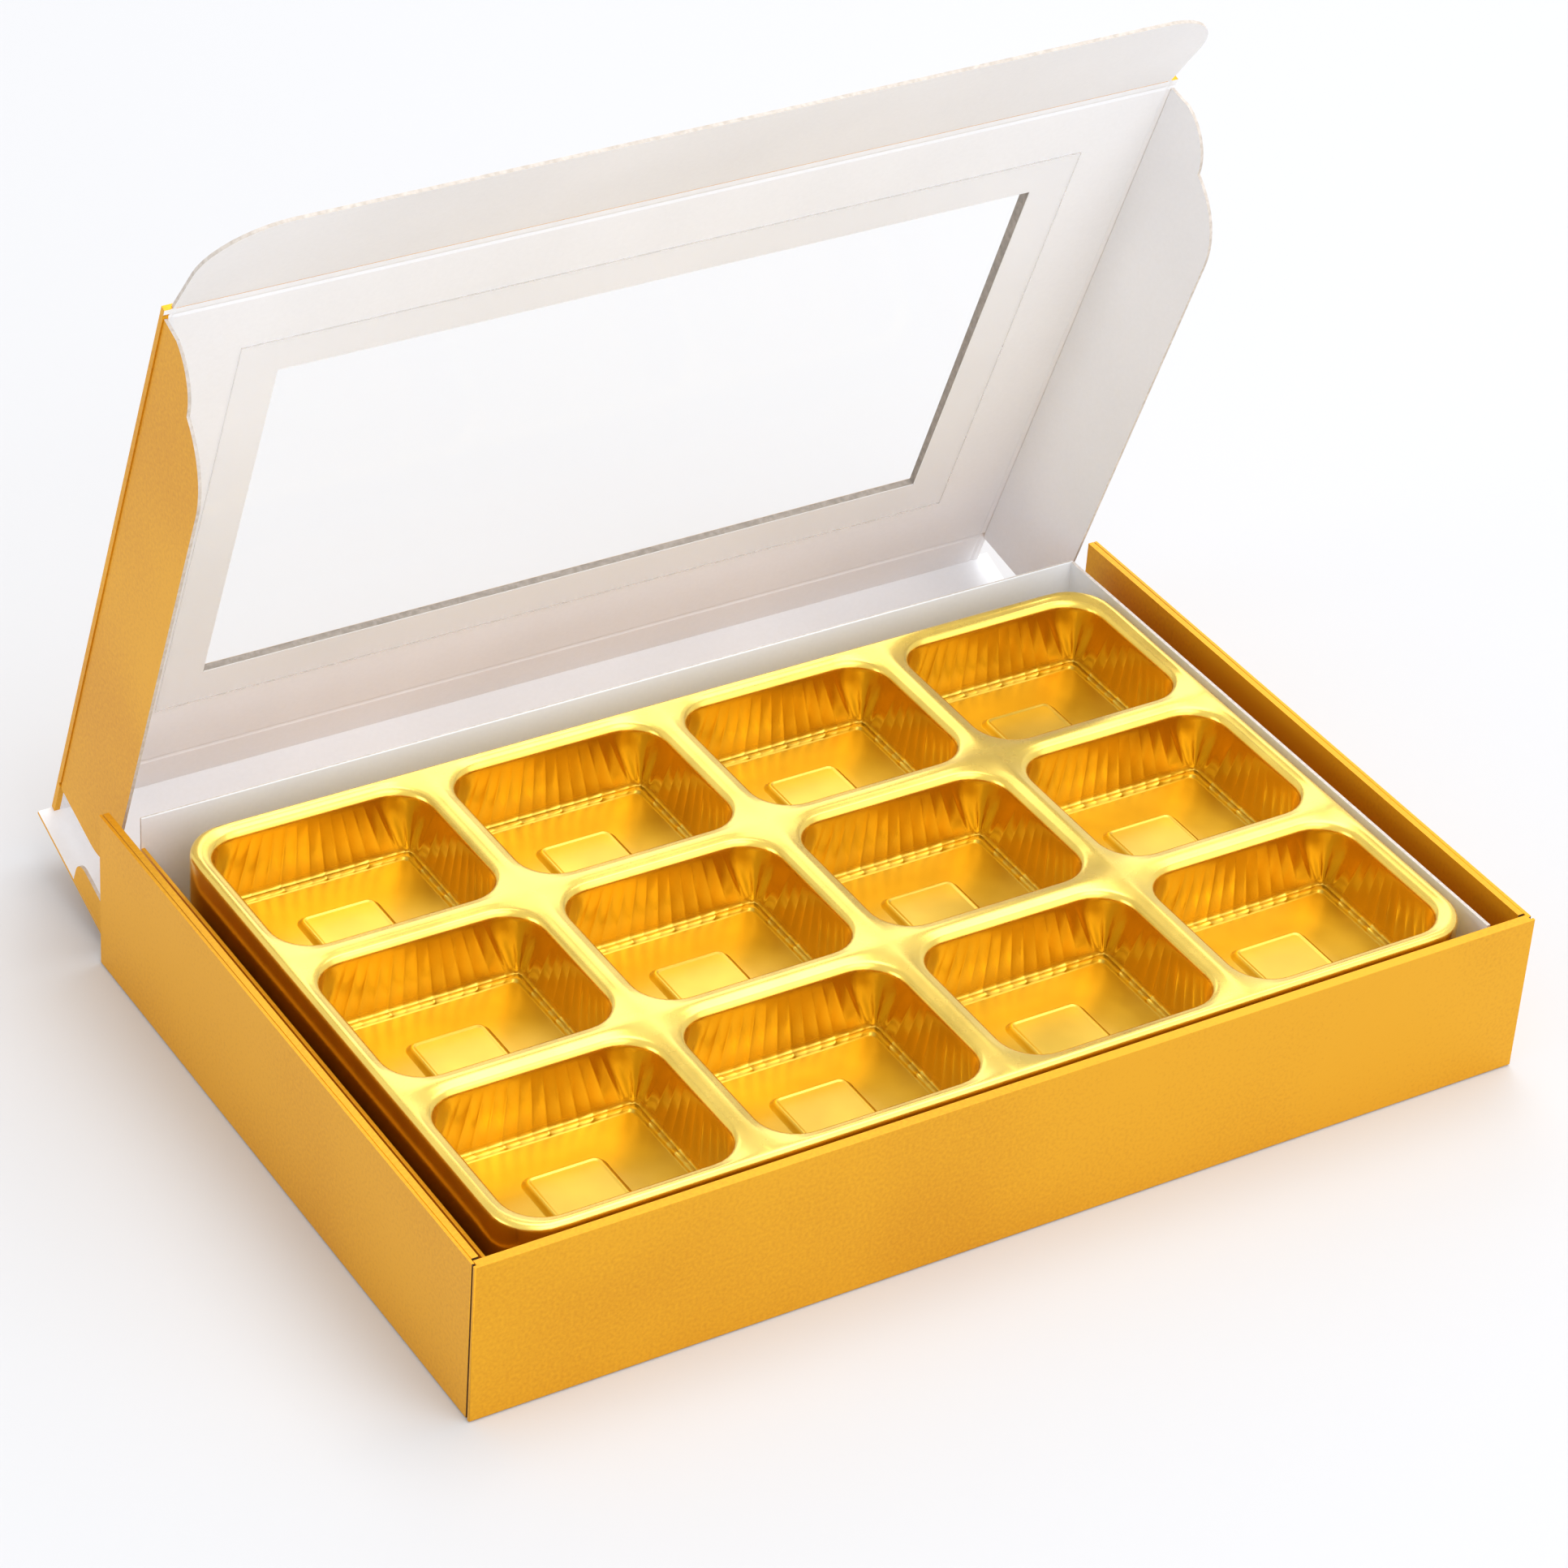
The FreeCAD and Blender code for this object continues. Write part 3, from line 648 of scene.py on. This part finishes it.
def addTray():
    low, high = corners("tray")
    columns, rows = tray["columns"], tray["rows"]
    rim = high.z + tray["rise"]
    mouthX = ((high.x - low.x) - 2 * tray["border"] - (columns - 1) * tray["rib"]) / columns / 2
    mouthY = ((high.y - low.y) - 2 * tray["border"] - (rows - 1) * tray["rib"]) / rows / 2
    stopsX = sideStops(mouthX - tray["mouthCorner"])
    stopsY = sideStops(mouthY - tray["mouthCorner"])
    quarter = tray["cornerSteps"]

    def ring(halfX, halfY, corner, z, rib=0.0, tooth=0.0, lift=0.0, pleat=0.0):
        # four sides and four corners, anticlockwise from the front side's left end
        found = []
        runs = [(stopsX, halfX - corner, halfY, 0), (stopsY, halfY - corner, halfX, 90),
                (stopsX, halfX - corner, halfY, 180), (stopsY, halfY - corner, halfX, 270)]
        centres = [(halfX - corner, -(halfY - corner)), (halfX - corner, halfY - corner),
                   (-(halfX - corner), halfY - corner), (-(halfX - corner), -(halfY - corner))]
        for (stops, half, off, degrees), (cx, cy) in zip(runs, centres):
            a = math.radians(degrees)
            cosA, sinA = math.cos(a), math.sin(a)
            for s, onRib, onTooth in stops:
                x, y = s * half, rib * onRib + tooth * onTooth - off
                found.append((x * cosA - y * sinA, x * sinA + y * cosA, z + lift * onTooth))
            for i in range(1, quarter):
                b = a - math.pi / 2 + math.pi / 2 * i / quarter
                # two pleats with a crease between them
                r = corner - pleat * (1 - math.cos(4 * math.pi * i / quarter)) / 2
                found.append((cx + r * math.cos(b), cy + r * math.sin(b), z))
        return found

    def cellEdge(reach, outer):
        # ring on the lines halfway along the ribs; reach: how far each side is from the mouth, S E N W
        found = []
        bounds = [-(mouthY + reach[0]), mouthX + reach[1], mouthY + reach[2], -(mouthX + reach[3])]
        cornerAt = [(bounds[1], bounds[0]), (bounds[1], bounds[2]), (bounds[3], bounds[2]), (bounds[3], bounds[0])]
        runX = mouthX - tray["mouthCorner"]
        runY = mouthY - tray["mouthCorner"]
        alongX, alongY = [stop[0] * runX for stop in stopsX], [stop[0] * runY for stop in stopsY]
        starts = [[(v, bounds[0]) for v in alongX], [(bounds[1], v) for v in alongY],
                  [(-v, bounds[2]) for v in alongX], [(bounds[3], -v) for v in alongY]]
        for k in range(4):
            found += starts[k]
            last, nextFirst = starts[k][-1], starts[(k + 1) % 4][0]
            cx, cy = cornerAt[k]
            for i in range(1, quarter):
                if k in outer:
                    # round outer corner of the tray
                    a = math.radians(90 * k - 90 + 90 * i / quarter)
                    r = tray["outlineCorner"] - tray["lip"]
                    sx, sy = (1 if cx > 0 else -1), (1 if cy > 0 else -1)
                    found.append((cx - sx * r + r * math.cos(a), cy - sy * r + r * math.sin(a)))
                elif i <= quarter // 2:
                    t = i / (quarter // 2)
                    found.append((last[0] + (cx - last[0]) * t, last[1] + (cy - last[1]) * t))
                else:
                    t = (i - quarter // 2) / (quarter - quarter // 2)
                    found.append((cx + (nextFirst[0] - cx) * t, cy + (nextFirst[1] - cy) * t))
        return found

    def cavityRings():
        roundness, depth, slope = tray["mouthRound"], tray["depth"], math.tan(math.radians(tray["draft"]))
        rings = []
        for i in range(tray["mouthSteps"] + 1):
            a = math.radians(90 * i / tray["mouthSteps"])
            out = roundness * (1 - math.sin(a))
            rings.append(ring(mouthX + out, mouthY + out, tray["mouthCorner"] + out,
                              -tray["crown"] - roundness * (1 - math.cos(a))))
        top = tray["crown"] + roundness
        wallEnd = depth - tray["ledgeDrop"]
        for t, share in tray["wallLevels"]:
            z = top + (wallEnd - top) * t
            corner = tray["mouthCorner"] + (tray["floorCorner"] - tray["mouthCorner"]) * t
            inset = slope * (z - top)
            pleat = min(tray["pleat"], tray["pleatShare"] * corner) * share
            rings.append(ring(mouthX - inset, mouthY - inset, corner, -z, tray["fluteDeep"] * share, pleat=pleat))
        # foot: a narrow ledge with a toothed edge, then the step to the floor
        inset = slope * (wallEnd - top)
        for across, down, deep, lift in tray["footSteps"]:
            inner = inset + tray["ledge"] * across
            z = -wallEnd - tray["ledgeDrop"] * down
            rings.append(ring(mouthX - inner, mouthY - inner, tray["floorCorner"], z,
                              tooth=tray["footDeep"] * deep, lift=tray["footLift"] * lift))
        # stamped panel
        halfX, halfY = (size / 2 for size in tray["stamp"])
        slopeRun, corner = tray["stampSlope"], tray["stampCorner"]
        margin = tray["stampMargin"]
        rings.append(ring(halfX + margin, halfY + margin, tray["marginCorner"], -depth))
        for across, up in tray["stampSteps"]:
            run = slopeRun * across
            rings.append(ring(halfX + run, halfY + run, max(corner + run, tray["stampLeastCorner"]),
                              tray["stampRise"] * up - depth))
        return rings

    bm = bmesh.new()
    inner = cavityRings()
    pitchX = 2 * mouthX + tray["rib"]
    pitchY = 2 * mouthY + tray["rib"]
    midRib = tray["rib"] / 2
    border = tray["border"] - tray["lip"]
    for row in range(rows):
        for column in range(columns):
            cx = low.x + tray["border"] + mouthX + column * pitchX
            cy = low.y + tray["border"] + mouthY + row * pitchY
            reach = [border if row == 0 else midRib, border if column == columns - 1 else midRib,
                     border if row == rows - 1 else midRib, border if column == 0 else midRib]
            south, east, north, west = (r == border for r in reach)
            outer = {k for k, both in enumerate((south and east, north and east, north and west, south and west))
                     if both}
            edge = [(x, y, 0.0) for x, y in cellEdge(reach, outer)]
            # softly crowned rib between the edge and the mouth
            between = [[((1 - t) * a[0] + t * b[0], (1 - t) * a[1] + t * b[1], -tray["crown"] * t * t)
                        for a, b in zip(edge, inner[0])] for t in tray["crownSteps"]]
            loops = [edge] + between + inner
            made = [[bm.verts.new((cx + x, cy + y, rim + z)) for x, y, z in loop] for loop in loops]
            count = len(made[0])
            for upper, lower in zip(made, made[1:]):
                for i in range(count):
                    j = (i + 1) % count
                    bm.faces.new((upper[i], upper[j], lower[j], lower[i]))
            bm.faces.new(made[-1])
    bmesh.ops.remove_doubles(bm, verts=bm.verts[:], dist=hair)

    # rounded lip and skirt, from the rim's outer edge outwards and down
    openEdges = [e for e in bm.edges if e.is_boundary]
    centreX, centreY = (low.x + high.x) / 2, (low.y + high.y) / 2
    spanX, spanY = (high.x - low.x) / 2, (high.y - low.y) / 2
    outlineRound = tray["outlineCorner"]

    def outward(co):
        dx, dy = co.x - centreX, co.y - centreY
        cx, cy = abs(dx) - (spanX - outlineRound), abs(dy) - (spanY - outlineRound)
        if cx > hair / 10 and cy > hair / 10:
            return Vector((math.copysign(cx, dx), math.copysign(cy, dy), 0)).normalized()
        if spanX - abs(dx) < spanY - abs(dy):
            return Vector((math.copysign(1, dx), 0, 0))
        return Vector((0, math.copysign(1, dy), 0))

    turns = [math.radians(90 * (i + 1) / tray["lipSteps"]) for i in range(tray["lipSteps"])]
    lowered = [(tray["lip"] * math.sin(a), -tray["lip"] * (1 - math.cos(a))) for a in turns]
    lowered += [(tray["lip"], (low.z - rim) / 2), (tray["lip"], low.z - rim)]
    chain = {}
    for edge in openEdges:
        for vert in edge.verts:
            if vert not in chain:
                away = outward(vert.co)
                chain[vert] = [vert] + [bm.verts.new(vert.co + away * a + Vector((0, 0, z))) for a, z in lowered]
    for edge in openEdges:
        a, b = edge.verts
        face = edge.link_faces[0]
        loop = next(l for l in face.loops if l.edge == edge)
        if loop.vert == a:
            a, b = b, a
        for k in range(len(lowered)):
            bm.faces.new((chain[a][k], chain[b][k], chain[b][k + 1], chain[a][k + 1]))
    for face in bm.faces:
        face.smooth = len(face.verts) == 4
    bmesh.ops.recalc_face_normals(bm, faces=bm.faces[:])
    piece = addPiece(bm, "formedTray", ground, (goldTray, goldTray, goldTray), "base", ["tray"])
    for face in piece.data.polygons:
        face.material_index = outFace
    thick = piece.modifiers.new("sheetThickness", "SOLIDIFY")
    thick.thickness = tray["sheet"] / 1000
    thick.offset = -1


addTray()
print("tray ready")

# Floor, light and camera
studio = {"floorSize": 3.0, "floorDrop": 0.0002, "floorColour": "#D1D2D5", "floorRough": 0.9, "floorShine": 0.1,
          "floorGlow": 0.03, "sky": 0.66, "skySeen": 1.0, "aimHeight": 0.03}
lamps = {
    "frontSoftbox": {"at": (0.25, -1.32, 0.86), "size": 2.2, "power": 15.5},
    "highFill": {"at": (0.1, -0.75, 1.2), "size": 0.9, "power": 4.0},
    "topSoftbox": {"at": (0.4, 0.2, 1.3), "size": 0.9, "power": 8.0},
    "backSoftbox": {"at": (0.4, 0.99, 0.735), "size": 0.8, "power": 2.7},
    "leftSoftbox": {"at": (-1.3, 0.12, 0.32), "size": 0.6, "power": 3.2},
}


def addFloor():
    mesh = bpy.data.meshes.new("paperSweep")
    half = studio["floorSize"] / 2
    mesh.from_pydata([(-half, -half, 0), (half, -half, 0), (half, half, 0), (-half, half, 0)], [], [(0, 1, 2, 3)])
    floor = bpy.data.objects.new("paperSweep", mesh)
    floor.location.z = -studio["floorDrop"]
    bpy.context.scene.collection.objects.link(floor)
    material, _, shader, _ = newMaterial("whitePaperSweep")
    shader.inputs["Base Color"].default_value = hexLinear(studio["floorColour"])
    shader.inputs["Roughness"].default_value = studio["floorRough"]
    shader.inputs["Specular IOR Level"].default_value = studio["floorShine"]
    shader.inputs["Emission Color"].default_value = (1, 1, 1, 1)
    shader.inputs["Emission Strength"].default_value = studio["floorGlow"]
    mesh.materials.append(material)


def addLight():
    world = bpy.data.worlds.new("studio")
    bpy.context.scene.world = world
    world.use_nodes = True
    tree = world.node_tree
    sky = tree.nodes["Background"]
    sky.inputs["Color"].default_value = (1, 1, 1, 1)
    # white where the camera, a reflection or a clear sheet looks, plain lighting elsewhere
    path = addNode(tree, "ShaderNodeLightPath")
    seen = path.outputs["Is Camera Ray"]
    for ray in ("Is Glossy Ray", "Is Transmission Ray"):
        seen = addNode(tree, "ShaderNodeMath", {"operation": "MAXIMUM"},
                       links={0: seen, 1: path.outputs[ray]}).outputs[0]
    level = addNode(tree, "ShaderNodeMapRange", values={"To Min": studio["sky"], "To Max": studio["skySeen"]},
                    links={"Value": seen})
    tree.links.new(level.outputs["Result"], sky.inputs["Strength"])
    aim = Vector((0, 0, studio["aimHeight"]))
    for name, lamp in lamps.items():
        light = bpy.data.lights.new(name, "AREA")
        light.size = lamp["size"]
        light.energy = lamp["power"]
        holder = bpy.data.objects.new(name, light)
        holder.location = lamp["at"]
        holder.rotation_euler = (aim - Vector(lamp["at"])).to_track_quat("-Z", "Y").to_euler()
        bpy.context.scene.collection.objects.link(holder)


# fitted to the corners of base and lid in the photograph
view = {"azimuth": 33.665, "elevation": 34.524, "roll": 4.426, "focalPixels": 6535.5,
        "offset": (3.049, 30.642, 740.382), "downPixels": 12, "sensor": 36, "clipStart": 0.01}


def addCamera():
    a, e, r = (math.radians(view[k]) for k in ("azimuth", "elevation", "roll"))
    forward = Vector((math.sin(a) * math.cos(e), math.cos(a) * math.cos(e), -math.sin(e)))
    right = Vector((math.cos(a), -math.sin(a), 0))
    down = forward.cross(right)
    right, down = right * math.cos(r) - down * math.sin(r), right * math.sin(r) + down * math.cos(r)
    axes = Matrix((right, down, forward))
    place = -(axes.transposed() @ Vector(view["offset"]))
    camera = bpy.data.cameras.new("camera")
    camera.sensor_width = view["sensor"]
    camera.lens = view["focalPixels"] * camera.sensor_width / photoSize
    camera.shift_y = view["downPixels"] / photoSize
    camera.clip_start = view["clipStart"]
    holder = bpy.data.objects.new("camera", camera)
    looking = Matrix((right, -down, -forward)).transposed().to_4x4()
    holder.matrix_world = Matrix.Translation(place / 1000) @ looking
    bpy.context.scene.collection.objects.link(holder)
    bpy.context.scene.camera = holder


addFloor()
addLight()
addCamera()
bpy.context.scene.view_settings.view_transform = "Standard"
print("studio ready")
